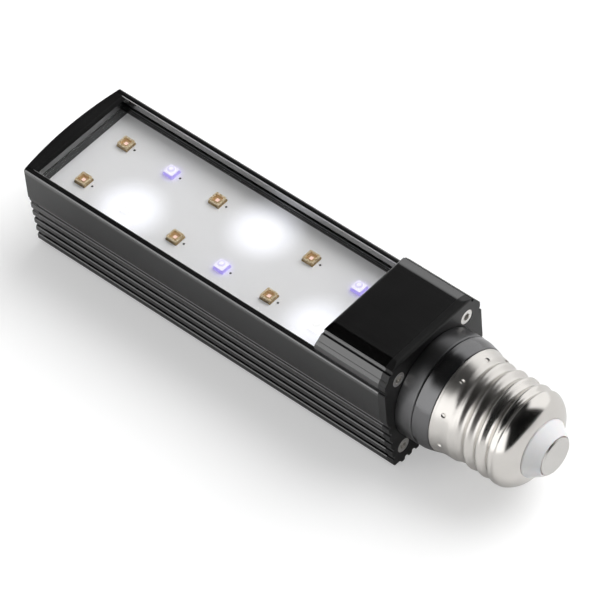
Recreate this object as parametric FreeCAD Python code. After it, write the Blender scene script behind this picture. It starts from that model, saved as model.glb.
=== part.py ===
"""Flat directional LED lamp for a terrarium, on a 27 mm screw cap.

Stations are measured along the lamp's axis from the end plate's front face,
positive towards the centre contact. The finished solids are moved so that the
origin is the centre of the centre contact's outer face, +X points out of the
cap and +Z is the way the light shines. Lengths are millimetres.
"""
import FreeCAD, Part
import math
import os

V = FreeCAD.Vector
ALONG = V(1, 0, 0)

# Clearances
running_fit = 0.05
seam_gap = 0.05
slide_fit = 0.1
overcut = 1.0

# Small roundings shared by many edges
fine_round = 0.2
edge_round = 0.3
inner_round = 0.5

# Finned housing, one aluminium extrusion
rail_length = 114.2
half_width = 17.7
rail_top = 10.5
rail_wall = 1.75
rail_edge_round = 0.6
side_step = 0.35
side_step_z = 0.2
side_taper = 1.05
groove_first_z = -1.6
groove_pitch = 3.05
groove_width = 1.15
groove_depths = (0.7, 0.9, 1.8, 1.9, 1.9)
groove_floor_round = 0.45
fin_tip = -17.65
fin_pitch = 2.6
fin_width = 1.4
fin_height = 2.25
fin_round = 0.45
corner_fin_lift = 1.05
floor_thick = 2.0
cavity_wall = 5.1
cavity_round = 1.0
web_top = 2.9
web_thick = 2.7
web_notch_gap = 0.4

# Screw ports, shared by the housing, the caps and the cover
port_wall = 1.1
port_inset = 5.25
lower_port_rise = 1.1
upper_port_inset = 3.05
upper_port_z = 0.3
cover_port_rise = 1.6
cover_boss_length = 12.0
cover_boss_wall = 1.3
cover_boss_floor = 2.0

# Light chamber
pad_thick = 0.3
pad_inset = 0.9
board_thick = 1.6
board_slot_depth = 0.35
board_setback = 1.0
glass_bottom = 7.4
glass_thick = 1.0
glass_groove_depth = 0.8
glass_clear = 0.05
baffle_groove_shares = (0.28, 0.6)
baffle_groove_size = 0.3

# Light sources
led_count = 6
led_far_margin = 8.55
led_near_margin = 7.65
led_row_y = 7.77
led_edge = 0.1
led_round = 0.35
uvb_size = 3.5
uvb_step = 0.5
uvb_ledge = 0.2
uvb_height = 1.2
uvb_well = 2.3
uvb_well_depth = 0.8
uvb_chip = 1.05
uvb_chip_height = 0.25
emitter_base = 3.2
emitter_base_height = 0.5
emitter_size = 2.9
emitter_height = 1.35
led_pattern = (("uvb", "uvb"), ("white", "violet"), ("uvb", "uvb"),
               ("violet", "white"), ("uvb", "uvb"), ("white", "violet"))

# Far end cap
far_cap_thick = 1.9
far_cap_bow = 1.5
far_plug_length = 1.3
far_plug_drop = 0.4
far_head_clearance = 0.3

# Driver cover
cover_length = 20.6
cover_slant = 1.7
cover_top = 17.7
cover_wall = 1.5
cover_flank_inset = 0.35
cover_foot_inset = 0.7
cover_top_inset = 5.35
cover_top_round = 2.4
cover_groove_upper_inset = 2.55
cover_groove_upper_share = 0.118
cover_groove_lower_inset = 2.0
cover_groove_lower_share = 0.22
cover_groove_depth = 0.8
cover_line_upper_inset = 1.2
cover_line_upper_share = 0.378
cover_line_lower_inset = 0.75
cover_line_lower_share = 0.463
cover_line_depth = 0.15
cover_shoulder_share = 0.611
cover_shoulder_round = 0.9
cover_flank_rise = 1.3
cover_foot_rise = 0.7
cover_foot_round = 0.4
cover_hollow_round = 3.2
cover_end_round = 1.0

# End plate
plate_thick = 2.2
plate_edge_round = 1.3
plate_groove_depth = 0.8
plate_fin_height = 1.0

# Countersunk screws
screw_radius = 1.25
screw_head_radius = 2.0
screw_head_depth = 1.1
screw_clearance = 0.15
screw_length = 9.0
screw_sink = 0.1
recess_depth = 0.8
recess_radius = 1.2
recess_waist = 0.88
recess_round = 0.25

# Neck collar, fixed in the end plate
collar_radius = 14.9
collar_length = 5.0
collar_round = 0.5
spigot_wall = 1.95
spigot_length = 4.6
nut_clearance = 0.4
nut_wall = 2.0
nut_thick = 2.0
nut_slot = 1.6
nut_slot_floor = 0.8

# Swivel ring, which carries the screw cap
ring_radius = 14.8
ring_length = 4.55
ring_taper_length = 2.7
ring_taper_round = 6.0
ring_lip = 0.1
pivot_tail = 0.8
pivot_wall = 2.2
core_bore = 7.5
bore_step_depth = 3.0
bore_step_length = 1.5
clip_thick = 0.6
clip_reach = 1.6
clip_depth = 0.55
clip_opening = 60.0
clip_play = 0.1
stop_inner = 11.0
stop_outer = 13.0
stop_height = 1.4
stop_half_angle = 7.0

# Screw cap shell, rolled from sheet
shell_wall = 0.3
crest_radius = 13.1
thread_depth = 1.1
thread_pitch = 3.629
thread_length = 15.3
first_crest = 1.73
first_crest_angle = 31.5
thread_start_spread = 3.0
thread_rise = 2.5
run_in = 1.6
run_out = 1.0
bead_proud = 0.6
bead_length = 0.75
bead_round = 0.25
skirt_proud = 0.35
skirt_length = 3.5
skirt_flare = 0.3
bowl_inset = 0.1
bowl_lead = 0.4
bowl_length = 4.2
bowl_draw = 1.3
bowl_bulge = 0.75
lip_radius = 8.1
lip_flat = 0.25
lip_edge = 0.2
dimple_count = 9
dimple_first_angle = -7.4
dimple_setback = 0.6
dimple_radius = 0.8
dimple_depth = 0.35

# Insulator and centre contact
cone_length = 4.3
contact_radius = 5.1
contact_thick = 0.9
contact_proud = 0.25
contact_round = 0.35
stem_radius = 1.5
tier_radius = 7.9
tier_front_radius = 5.75
tier_round = 0.6
plug_length = 0.9
plug_round = 0.4
cone_foot = 0.1
cone_rise = 0.25
contact_clearance = 0.1
stem_tail = 2.0

# Driver
driver_board_slot = 0.6
driver_board_top = -4.0
driver_board_far = 84.0
driver_gap = 0.6
liner_thick = 0.5
liner_gap = 0.35
liner_clear = 0.6
terminal_length = 8.0
terminal_half = 4.6
terminal_top = 2.4
terminal_wire_gap = 0.3
terminal_entry_depth = 3.0
terminal_screw_radius = 1.2
terminal_screw_depth = 2.0

# Components on the driver board: station of the far edge, gap to the liner's side and floor, sizes
transformer_far = 58.0
transformer_length = 14.0
transformer_side_gap = 2.7
transformer_floor_gap = 0.5
transformer_leg = 3.0
bobbin_inset = 2.0
bobbin_side_gap = 1.7
bobbin_window = 9.0
bobbin_lift = 1.2
input_can_far = 38.0
input_can_gap = 1.9
output_can_far = 75.0
output_can_gap = 2.9
can_length = 11.0
can_floor_gap = 0.7
can_neck_place = 1.4
can_neck_length = 0.5
can_neck_depth = 0.25
choke_far = 83.0
choke_length = 6.0
choke_side_gap = 1.2
choke_floor_gap = 1.3
rectifier_far = 24.0
rectifier_length = 6.4
rectifier_width = 4.8
rectifier_side_gap = 2.3
rectifier_drop = 2.5
fuse_far = 24.0
fuse_length = 8.0
fuse_radius = 1.6
fuse_side_gap = 3.1
chip_far = 37.0
chip_length = 5.0
chip_width = 4.0
chip_side_gap = 1.2
chip_drop = 1.6

# Wires
supply_wire_radius = 0.9
supply_wire_offset = 1.1
supply_bend = 5.4
led_wire_radius = 0.65
led_wire_y = 7.0
led_wire_bend = 3.2
led_wire_setback = 5.0
led_wire_end_gap = 2.3

# Places that follow from the sizes above
port_radius = screw_radius + running_fit
channel_half = half_width - rail_wall
cavity_half = half_width - cavity_wall
port_y = half_width - port_inset
upper_port_y = half_width - upper_port_inset
fin_root = fin_tip + fin_height
cavity_floor = fin_root + floor_thick
lower_port_z = cavity_floor + lower_port_rise
cover_port_z = rail_top + cover_port_rise
web_bottom = web_top - web_thick
corner_tip = fin_tip + corner_fin_lift
near_end = -plate_thick
far_end = near_end - rail_length
cover_far = near_end - cover_length
cover_rise = cover_top - rail_top
pad_top = web_top + pad_thick
board_top = pad_top + board_thick
board_slot_top = board_top + slide_fit
board_half = channel_half + board_slot_depth - slide_fit
glass_top = glass_bottom + glass_thick
plug_half = channel_half - seam_gap
led_first = -far_end - led_far_margin
led_pitch = (rail_length - cover_length - led_far_margin - led_near_margin) / (led_count - 1)

# Neck and cap, each station from the one before
nut_radius = cavity_half - nut_clearance
spigot_radius = nut_radius - nut_wall
collar_bore = spigot_radius - spigot_wall
pivot_radius = collar_bore - running_fit
ring_bore = pivot_radius - pivot_wall
clip_radius = pivot_radius + clip_reach
pivot_length = spigot_length + clip_thick + pivot_tail
root_radius = crest_radius - thread_depth
skirt_radius = crest_radius + skirt_proud
bead_radius = skirt_radius + bead_proud
bowl_radius = crest_radius - bowl_inset
ring_front_radius = bead_radius + ring_lip
ring_rear = collar_length + slide_fit
ring_front = ring_rear + ring_length
shell_rear = ring_front + seam_gap
thread_start = shell_rear + skirt_length
thread_end = thread_start + thread_length
bowl_start = thread_end + bowl_lead
lip_station = bowl_start + bowl_length
contact_station = lip_station + cone_length
thread_crest = thread_start + first_crest
thread_full = thread_end - run_out
shell_step = thread_start - run_in / 2
dimple_station = thread_start - dimple_setback
shell_bore = root_radius - shell_wall
bowl_bore = bowl_radius - bowl_draw
core_end = thread_full - slide_fit
core_radius = shell_bore - running_fit

# Driver, behind the neck's pivot
driver_board_near = pivot_length + driver_gap
driver_board_half = cavity_half + driver_board_slot
driver_board_bottom = driver_board_top - board_thick
web_notch_far = -driver_board_near - terminal_length - web_notch_gap
board_near = board_setback - web_notch_far
liner_half = port_y - port_radius - port_wall - liner_gap
liner_top = driver_board_bottom - liner_clear
parts_half = liner_half - liner_thick
parts_room = driver_board_bottom - cavity_floor - liner_thick
can_radius = (parts_room - can_floor_gap) / 2
choke_radius = (parts_room - choke_floor_gap) / 2
led_wire_station = driver_board_near + led_wire_setback
led_wire_pad = -cover_far - cover_wall - led_wire_end_gap


def rounded_wire(corners, place):
    """Closed wire through (u, v, radius) corners, each rounded by an arc."""
    count = len(corners)
    points = [FreeCAD.Vector(u, v, 0) for u, v, radius in corners]
    stops = []
    for index, (u, v, radius) in enumerate(corners):
        here = points[index]
        back = points[index - 1] - here
        ahead = points[(index + 1) % count] - here
        room = 0.49 * min(back.Length, ahead.Length)
        back.normalize()
        ahead.normalize()
        half_turn = (math.pi - back.getAngle(ahead)) / 2
        reach = min(radius * math.tan(half_turn), room)
        if reach < 1e-4:
            stops.append((here, here, here))
            continue
        arc_radius = reach / math.tan(half_turn)
        inward = back + ahead
        inward.normalize()
        middle = here + inward * (arc_radius / math.cos(half_turn) - arc_radius)
        stops.append((here + back * reach, middle, here + ahead * reach))
    edges = []
    for index, (start, middle, end) in enumerate(stops):
        last = stops[index - 1][2]
        if last.distanceToPoint(start) > 1e-5:
            edges.append(Part.LineSegment(place(last), place(start)).toShape())
        if start.distanceToPoint(end) > 1e-5:
            edges.append(Part.Arc(place(start), place(middle), place(end)).toShape())
    return Part.Wire(edges)


def mirrored(right):
    """Corner list of a symmetric outline from its right half, listed end to end."""
    left = [(-u, v, radius) for u, v, radius in reversed(right)]
    return right + left


def section_solid(corners, start, end, holes=()):
    """Prism along the axis with an outline across it, between two stations."""
    def place(point):
        return V(start, point.x, point.y)
    face = Part.Face(rounded_wire(corners, place))
    for outline in holes:
        face = face.cut(Part.Face(rounded_wire(outline, place)))
    return face.extrude(V(end - start, 0, 0))


def side_solid(corners, half):
    """Prism across the lamp with an outline seen from its side."""
    def place(point):
        return V(point.x, -half, point.y)
    return Part.Face(rounded_wire(corners, place)).extrude(V(0, 2 * half, 0))


def plan_solid(corners, bottom, top):
    """Upright prism with an outline seen from above."""
    def place(point):
        return V(point.x, point.y, bottom)
    return Part.Face(rounded_wire(corners, place)).extrude(V(0, 0, top - bottom))


def turned(corners):
    """Solid of revolution about the axis from (station, radius, rounding) corners."""
    def place(point):
        return V(point.x, point.y, 0)
    return Part.Face(rounded_wire(corners, place)).revolve(V(0, 0, 0), ALONG, 360)


def rod(start, end, radius, y=0, z=0):
    """Cylinder along the axis between two stations."""
    return Part.makeCylinder(radius, end - start, V(start, y, z), ALONG)


def block(x0, x1, y0, y1, z0, z1):
    """Box between two stations, two widths and two heights."""
    return Part.makeBox(x1 - x0, y1 - y0, z1 - z0, V(x0, y0, z0))


def around(shape, angle):
    """Copy of a shape turned about the lamp's axis, in degrees."""
    copy = shape.copy()
    copy.rotate(V(0, 0, 0), ALONG, angle)
    return copy


def flank_y(z):
    """Half width of the grooved flank at a height below the rail."""
    share = (side_step_z - z) / (side_step_z - corner_tip)
    return half_width - side_step - side_taper * share


def flank_corners(depths):
    """Corners of one flank, from the rail's top edge down to the corner fin."""
    corners = [(half_width, rail_top, rail_edge_round),
               (half_width, side_step_z + side_step, fine_round),
               (half_width - side_step, side_step_z, fine_round)]
    for index, depth in enumerate(depths):
        upper = groove_first_z - groove_pitch * index + groove_width / 2
        lower = upper - groove_width
        corners.append((flank_y(upper), upper, fin_round))
        corners.append((flank_y(upper) - depth, upper, groove_floor_round))
        corners.append((flank_y(lower) - depth, lower, groove_floor_round))
        corners.append((flank_y(lower), lower, fin_round))
    return corners


def base_corners(height):
    """Corners of the finned base, from one corner fin to the middle fin's edge."""
    outer = flank_y(corner_tip)
    inner = outer - fin_width
    root = fin_tip + height
    corners = [(outer, corner_tip, 2 * fin_round), (inner, corner_tip, fin_round), (inner, root, edge_round)]
    fins_each_side = int((outer - fin_width / 2 - fin_pitch / 2) / fin_pitch)
    for index in range(fins_each_side, -1, -1):
        edge = index * fin_pitch + fin_width / 2
        corners.append((edge, root, edge_round))
        corners.append((edge, fin_tip, fin_round))
        if index:
            corners.append((edge - fin_width, fin_tip, fin_round))
            corners.append((edge - fin_width, root, edge_round))
    return corners


def channel_corners():
    """Corners of the light channel's right side, from the web up to the rail."""
    slot_half = channel_half + board_slot_depth
    groove_half = channel_half + glass_groove_depth
    corners = [(slot_half, web_top, 0), (slot_half, board_slot_top, 0), (channel_half, board_slot_top, 0)]
    for share in baffle_groove_shares:
        bottom = board_slot_top + share * (glass_bottom - board_slot_top)
        top = bottom + baffle_groove_size
        depth = channel_half + baffle_groove_size
        corners += [(channel_half, bottom, 0), (depth, bottom, 0), (depth, top, 0), (channel_half, top, 0)]
    corners += [(channel_half, glass_bottom - glass_clear, 0), (groove_half, glass_bottom - glass_clear, 0),
                (groove_half, glass_top + glass_clear, 0), (channel_half, glass_top + glass_clear, 0),
                (channel_half, rail_top, edge_round)]
    return corners


def cavity_corners():
    """Corners of the driver cavity's right half, round the lower screw port's boss."""
    boss = port_radius + port_wall
    slot = driver_board_half + slide_fit
    return [(cavity_half, web_bottom, cavity_round),
            (cavity_half, driver_board_top + slide_fit, 0), (slot, driver_board_top + slide_fit, 0),
            (slot, driver_board_bottom, 0), (cavity_half, driver_board_bottom, 0),
            (cavity_half, lower_port_z + boss, inner_round), (port_y - boss, lower_port_z + boss, boss),
            (port_y - boss, cavity_floor, inner_round)]


def heat_sink_housing():
    """Extrusion with grooved flanks, finned base, light channel and driver cavity."""
    outline = mirrored(channel_corners() + flank_corners(groove_depths) + base_corners(fin_height))
    body = section_solid(outline, far_end, near_end, [mirrored(cavity_corners())])
    for side in (-1, 1):
        body = body.cut(rod(far_end, near_end, port_radius, side * port_y, lower_port_z))
        body = body.cut(rod(far_end, near_end, port_radius, side * upper_port_y, upper_port_z))
    notch = block(web_notch_far, near_end, -cavity_half, cavity_half,
                  web_bottom - overcut, web_top + overcut)
    return body.cut(notch)


def recess(upper, lower, depth):
    """Corners of a groove between two lips of an outline, square to the line between the lips."""
    across, down = lower[0] - upper[0], lower[1] - upper[1]
    span = math.hypot(across, down)
    inward, sink = depth * down / span, -depth * across / span
    return [(upper[0], upper[1], edge_round), (upper[0] + inward, upper[1] + sink, fine_round),
            (lower[0] + inward, lower[1] + sink, fine_round), (lower[0], lower[1], fine_round)]


def cover_corners():
    """Outer corners of the driver cover's right half, from its top down to its foot."""
    flank = half_width - cover_flank_inset
    foot = half_width - cover_foot_inset
    groove = recess((flank - cover_groove_upper_inset, cover_top - cover_groove_upper_share * cover_rise),
                    (flank - cover_groove_lower_inset, cover_top - cover_groove_lower_share * cover_rise),
                    cover_groove_depth)
    line = recess((flank - cover_line_upper_inset, cover_top - cover_line_upper_share * cover_rise),
                  (flank - cover_line_lower_inset, cover_top - cover_line_lower_share * cover_rise),
                  cover_line_depth)
    sharp_line = [(u, v, 0) for u, v, radius in line]
    return [(flank - cover_top_inset, cover_top, cover_top_round)] + groove + sharp_line + [
        (flank, cover_top - cover_shoulder_share * cover_rise, cover_shoulder_round),
        (flank, rail_top + cover_flank_rise, cover_shoulder_round),
        (foot, rail_top + cover_foot_rise, cover_foot_round)]


def driver_cover():
    """Moulded cover over the wiring chamber, with a slanted end and tongues in the glass grooves."""
    foot = half_width - cover_foot_inset
    foot_z = rail_top + seam_gap
    tongue_half = channel_half + glass_groove_depth - slide_fit
    tongue_top = glass_top - seam_gap
    skirt = [(foot, foot_z, fine_round), (plug_half, foot_z, 0), (plug_half, tongue_top, 0),
             (tongue_half, tongue_top, 0), (tongue_half, glass_bottom, 0)]
    body = section_solid(mirrored(cover_corners() + skirt), cover_far, near_end)
    shield = block(cover_far, cover_far + cover_wall, -plug_half, plug_half,
                   board_top + slide_fit, glass_top)
    body = body.fuse(shield)
    reach = 2 * half_width
    body = body.common(side_solid(slanted_corners(0, board_top + slide_fit), reach))
    hollow_half = plug_half - cover_wall
    hollow_top = cover_top - cover_wall
    hollow = section_solid(mirrored([(hollow_half, 0, 0), (hollow_half, hollow_top, cover_hollow_round)]),
                           cover_far, near_end)
    hollow = hollow.common(side_solid(slanted_corners(cover_wall, 0), reach))
    body = body.cut(hollow)
    for side in (-1, 1):
        boss = rod(near_end - cover_boss_length, near_end, port_radius + cover_boss_wall,
                   side * port_y, cover_port_z)
        boss = boss.common(section_solid(mirrored(cover_corners() + [(foot, foot_z, 0)]), cover_far, near_end))
        body = body.fuse(boss)
        body = body.cut(rod(near_end - cover_boss_length + cover_boss_floor, near_end, port_radius,
                            side * port_y, cover_port_z))
    return body.removeSplitter()


def slanted_corners(inset, low):
    """Side view of the driver cover or, set in by its wall, of its hollow, down to a height."""
    top = cover_top - inset
    lean = cover_slant * (top - rail_top) / cover_rise
    return [(cover_far + inset, low, 0), (cover_far + inset, rail_top, cover_end_round),
            (cover_far + inset + lean, top, cover_end_round), (near_end, top, 0), (near_end, low, 0)]


def screw_places():
    """Places of the near end's four screws, across the lamp."""
    return [(-port_y, cover_port_z), (port_y, cover_port_z), (-port_y, lower_port_z), (port_y, lower_port_z)]


def far_screw_places():
    """Places of the far end's four screws, across the lamp."""
    return [(-upper_port_y, upper_port_z), (upper_port_y, upper_port_z),
            (-port_y, lower_port_z), (port_y, lower_port_z)]


def countersink(face_station, y, z, inward):
    """Cutter for a countersunk hole that opens at a station, deeper towards inward."""
    clear = screw_radius + screw_clearance
    head = screw_head_radius + screw_sink
    cone = Part.makeCone(head, clear, screw_head_depth + screw_sink, V(face_station, y, z), V(inward, 0, 0))
    hole = Part.makeCylinder(clear, screw_length, V(face_station, y, z), V(inward, 0, 0))
    return cone.fuse(hole)


def screw(face_station, y, z, inward):
    """Countersunk screw with a six-lobed recess, its head just below a face."""
    start = face_station + inward * screw_sink
    head = Part.makeCone(screw_head_radius, screw_radius, screw_head_depth, V(start, y, z), V(inward, 0, 0))
    shank = Part.makeCylinder(screw_radius, screw_length, V(start, y, z), V(inward, 0, 0))
    body = head.fuse(shank).removeSplitter()
    lobes = []
    for step in range(12):
        reach = recess_waist if step % 2 else recess_radius
        turn = math.radians(30 * step)
        lobes.append((y + reach * math.cos(turn), z + reach * math.sin(turn), recess_round))
    return body.cut(section_solid(lobes, start, start + inward * recess_depth))


def end_plate():
    """Plate that closes the near end, with the outline of cover and housing together."""
    depths = [min(depth, plate_groove_depth) for depth in groove_depths]
    outline = cover_corners() + [(half_width - cover_foot_inset, rail_top, fine_round)]
    outline += flank_corners(depths) + base_corners(plate_fin_height)
    plate = section_solid(mirrored(outline), near_end, 0)
    rounded_front = [(near_end, cover_top, 0), (0, cover_top, plate_edge_round),
                     (0, fin_tip, 0), (near_end, fin_tip, 0)]
    plate = plate.common(side_solid(rounded_front, 2 * half_width))
    plate = plate.cut(rod(near_end, 0, spigot_radius + seam_gap))
    for y, z in screw_places():
        plate = plate.cut(countersink(0, y, z, -1))
    return plate


def far_end_cap():
    """Bowed cap that closes the far end, with a plug above the light board."""
    depths = [depth / 2 for depth in groove_depths]
    outline = flank_corners(depths) + base_corners(plate_fin_height)
    outer = far_end - far_cap_thick - far_cap_bow
    cap = section_solid(mirrored(outline), outer, far_end)
    corner_station = far_end - far_cap_thick
    left = V(corner_station, -half_width, fin_tip)
    right = V(corner_station, half_width, fin_tip)
    bow = Part.Wire([Part.Arc(left, V(outer, 0, fin_tip), right).toShape(),
                     Part.makePolygon([right, V(far_end, half_width, fin_tip),
                                       V(far_end, -half_width, fin_tip), left])])
    cap = cap.common(Part.Face(bow).extrude(V(0, 0, rail_top - fin_tip)))
    plug_top = rail_top - far_plug_drop
    plug = section_solid(mirrored([(plug_half, board_top + slide_fit, 0), (plug_half, plug_top, 0)]),
                         far_end, far_end + far_plug_length)
    cap = cap.fuse(plug)
    for y, z in far_screw_places():
        seat = far_end - far_cap_thick
        cap = cap.cut(rod(outer, seat, screw_head_radius + far_head_clearance, y, z))
        cap = cap.cut(countersink(seat, y, z, 1))
    return cap.removeSplitter()


def window_glass():
    """Flat glass, slid into the channel's grooves between the far cap and the cover."""
    half = channel_half + glass_groove_depth - slide_fit
    return block(far_end + far_plug_length + seam_gap, cover_far - seam_gap, -half, half,
                 glass_bottom, glass_top)


def thermal_pad():
    """Thin pad between the web and the light board."""
    half = channel_half - pad_inset
    return block(far_end + slide_fit, -board_near - pad_inset, -half, half, web_top, pad_top)


def led_board():
    """White board that carries the light sources."""
    return block(far_end + slide_fit, -board_near, -board_half, board_half, pad_top, board_top)


def led_package(x, y, width, bottom, top, rounding):
    """Square package, with its upright edges rounded."""
    half = width / 2
    corners = [(x - half, y - half, rounding), (x + half, y - half, rounding),
               (x + half, y + half, rounding), (x - half, y + half, rounding)]
    return plan_solid(corners, bottom, top)


def uvb_led(x, y):
    """Gold-coloured ceramic package with a square well and a chip in it."""
    step = board_top + uvb_step
    top = board_top + uvb_height
    well_floor = top - uvb_well_depth
    body = led_package(x, y, uvb_size, board_top, step, led_edge)
    body = body.fuse(led_package(x, y, uvb_size - uvb_ledge, step, top, led_round))
    body = body.cut(led_package(x, y, uvb_well, well_floor, top, led_round))
    return body.fuse(led_package(x, y, uvb_chip, well_floor, well_floor + uvb_chip_height, led_edge))


def emitter_led(x, y):
    """Flat package: a square emitter block on a slightly larger base."""
    base_top = board_top + emitter_base_height
    base = led_package(x, y, emitter_base, board_top, base_top, led_edge)
    return base.fuse(led_package(x, y, emitter_size, base_top, board_top + emitter_height, led_round))


def light_sources():
    """Every light source by name: UVB, violet and white packages on a two-row grid."""
    found = {}
    numbers = {"uvb": 0, "violet": 0, "white": 0}
    for column in range(led_count):
        x = -led_first + led_pitch * column
        for side, kind in zip((-1, 1), led_pattern[column % len(led_pattern)]):
            numbers[kind] += 1
            name = "%s_led_%d" % (kind, numbers[kind])
            y = side * led_row_y
            found[name] = uvb_led(x, y) if kind == "uvb" else emitter_led(x, y)
    return found


def neck_collar():
    """Fixed collar: a flange against the plate and a spigot through it, with the swivel's stop lug."""
    body = turned([(-spigot_length, collar_bore, fine_round), (-spigot_length, spigot_radius, edge_round),
                   (0, spigot_radius, 0), (0, collar_radius, fine_round),
                   (collar_length, collar_radius, collar_round), (collar_length, collar_bore, 0)])
    return body.fuse(arc_bar(collar_length, stop_height, stop_half_angle, -90, slide_fit)).removeSplitter()


def arc_bar(start, height, half_angle, middle_angle, inset):
    """Curved bar that lies between the stop's two radii, standing forward of a station."""
    inner = stop_inner + inset
    outer = stop_outer - inset
    face = Part.Face(rounded_wire([(start, inner, 0), (start + height, inner, 0),
                                   (start + height, outer, 0), (start, outer, 0)],
                                  lambda point: V(point.x, point.y, 0)))
    bar = face.revolve(V(0, 0, 0), ALONG, 2 * half_angle)
    return around(bar, middle_angle - half_angle)


def collar_nut():
    """Slotted ring nut that clamps the collar from behind the plate."""
    nut = turned([(near_end - nut_thick, spigot_radius + running_fit, 0),
                  (near_end - nut_thick, nut_radius, edge_round),
                  (near_end, nut_radius, 0), (near_end, spigot_radius + running_fit, 0)])
    for angle in (45, 135, 225, 315):
        slot = block(near_end - nut_thick, near_end - nut_thick / 2, -nut_slot / 2, nut_slot / 2,
                     spigot_radius + nut_slot_floor, nut_radius + overcut)
        nut = nut.cut(around(slot, angle))
    return nut


def clip_station():
    """Station of the retaining clip's front face, just behind the collar."""
    return -spigot_length - clip_play


def swivel_ring():
    """Ring with a pivot that runs in the collar and a core inside the shell."""
    skirt_core = skirt_radius - shell_wall - running_fit
    step = shell_step - slide_fit
    bore_step = ring_rear + bore_step_depth
    groove_front = clip_station() + clip_play / 2
    groove_rear = clip_station() - clip_thick - clip_play / 2
    body = turned([(-pivot_length, ring_bore, 0), (-pivot_length, pivot_radius, edge_round),
                   (groove_rear, pivot_radius, 0), (groove_rear, pivot_radius - clip_depth, 0),
                   (groove_front, pivot_radius - clip_depth, 0), (groove_front, pivot_radius, 0),
                   (ring_rear, pivot_radius, 0), (ring_rear, ring_radius, fine_round),
                   (ring_front - ring_taper_length, ring_radius, ring_taper_round),
                   (ring_front, ring_front_radius, fine_round), (ring_front, skirt_core, 0),
                   (step, skirt_core, 0), (step, core_radius, 0),
                   (core_end, core_radius, edge_round), (core_end, core_bore, edge_round),
                   (bore_step, core_bore, 0), (bore_step - bore_step_length, ring_bore, 0)])
    track = arc_bar(ring_rear, stop_height + 2 * slide_fit, 180 - stop_half_angle, -90, -slide_fit)
    body = body.cut(track)
    for angle in dimple_angles():
        body = body.cut(dimple_ball(angle, shell_wall + running_fit))
    notch_half = supply_wire_radius + edge_round
    notch = block(core_end - 2 * notch_half - overcut, core_end, -core_radius - overcut, 0,
                  -notch_half, notch_half)
    return body.cut(notch)


def retaining_clip():
    """Open spring clip in the pivot's groove, which keeps the ring in the collar."""
    front = clip_station()
    body = turned([(front - clip_thick, pivot_radius - clip_depth + running_fit, 0),
                   (front - clip_thick, clip_radius, 0),
                   (front, clip_radius, 0), (front, pivot_radius - clip_depth + running_fit, 0)])
    reach = 2 * clip_radius
    half = math.radians(clip_opening / 2)
    rear = front - clip_thick - overcut
    wedge = Part.makePolygon([V(rear, 0, 0), V(rear, reach * math.sin(half), -reach * math.cos(half)),
                              V(rear, -reach * math.sin(half), -reach * math.cos(half)), V(rear, 0, 0)])
    return body.cut(Part.Face(wedge).extrude(V(clip_thick + 2 * overcut, 0, 0)))


def dimple_angles():
    """Angles of the crimped dimples round the skirt."""
    return [dimple_first_angle + 360.0 / dimple_count * index for index in range(dimple_count)]


def dimple_ball(angle, grow):
    """Ball that presses one dimple; grown, it is the dimple's inner side."""
    middle = skirt_radius + dimple_radius - dimple_depth
    ball = Part.makeSphere(dimple_radius + grow, V(dimple_station, 0, middle))
    return around(ball, 90 - angle)


def smooth(share):
    """Ease from 0 to 1, level at both ends."""
    share = min(max(share, 0.0), 1.0)
    return share * share * (3 - 2 * share)


def thread_form(x, angle):
    """Mean radius and wave depth of the shell at a station and angle: the thread starts along a slant."""
    late = (1 - math.cos(angle - math.radians(first_crest_angle))) / 2
    begin = thread_start + thread_start_spread * late - run_in / 2
    mean = (crest_radius + root_radius) / 2
    foot = shell_rear + bead_length
    skirt = skirt_radius + skirt_flare * smooth((dimple_station - x) / (dimple_station - foot))
    outward = smooth((x - thread_full) / run_out)
    radius = skirt + (mean - skirt) * smooth((x - begin) / run_in) + (bowl_radius - mean) * outward
    depth = (crest_radius - root_radius) / 2 * smooth((x - begin) / thread_rise) * (1 - outward)
    return radius, depth


def shell_rows():
    """Rows of the shell's outside from bead to lip: station and radius, None where the thread runs."""
    foot = shell_rear + bead_length
    rows = [(shell_rear, bead_radius - bead_round), (shell_rear, bead_radius),
            (foot - bead_round, bead_radius), (foot, skirt_radius + skirt_flare)]
    count = round(8 * (bowl_start - foot) / thread_pitch)
    rows += [(foot + (bowl_start - foot) * index / count, None) for index in range(1, count)]
    rows.append((bowl_start, bowl_radius))
    slope = (bowl_radius - lip_radius) / (lip_station - bowl_start)
    for share in (0.12, 0.25, 0.4, 0.55, 0.7, 0.85):
        x = bowl_start + (lip_station - bowl_start) * share
        bulge = bowl_bulge * math.sin(math.pi * share)
        rows.append((x + bulge / 2, bowl_radius - slope * (x - bowl_start) + bulge))
    return rows + [(lip_station, lip_radius + lip_flat), (lip_station, lip_radius)]


def shell_outside():
    """Smooth surface through the rows, with the thread's wave wound round it."""
    around_count = 48
    swell = 3 / (2 + math.cos(2 * math.pi / around_count))
    lift = 3 / (2 + math.cos(2 * math.pi / 8))
    poles = []
    for x, fixed_radius in shell_rows():
        row = []
        for index in range(around_count):
            angle = 2 * math.pi * index / around_count
            radius, depth = (fixed_radius, 0) if fixed_radius else thread_form(x, angle)
            phase = 2 * math.pi * (x - thread_crest) / thread_pitch
            wave = depth * lift * math.cos(phase - angle + math.radians(first_crest_angle))
            reach = (radius + wave) * swell
            row.append(V(x, reach * math.cos(angle), reach * math.sin(angle)))
        poles.append(row)
    surface = Part.BSplineSurface()
    row_count = len(poles)
    row_knots = list(range(row_count - 2))
    row_turns = [4] + [1] * (row_count - 4) + [4]
    surface.buildFromPolesMultsKnots(poles, row_turns, [1] * (around_count + 1), row_knots,
                                     list(range(around_count + 1)), False, True, 3, 3)
    return surface.toShape()


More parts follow.
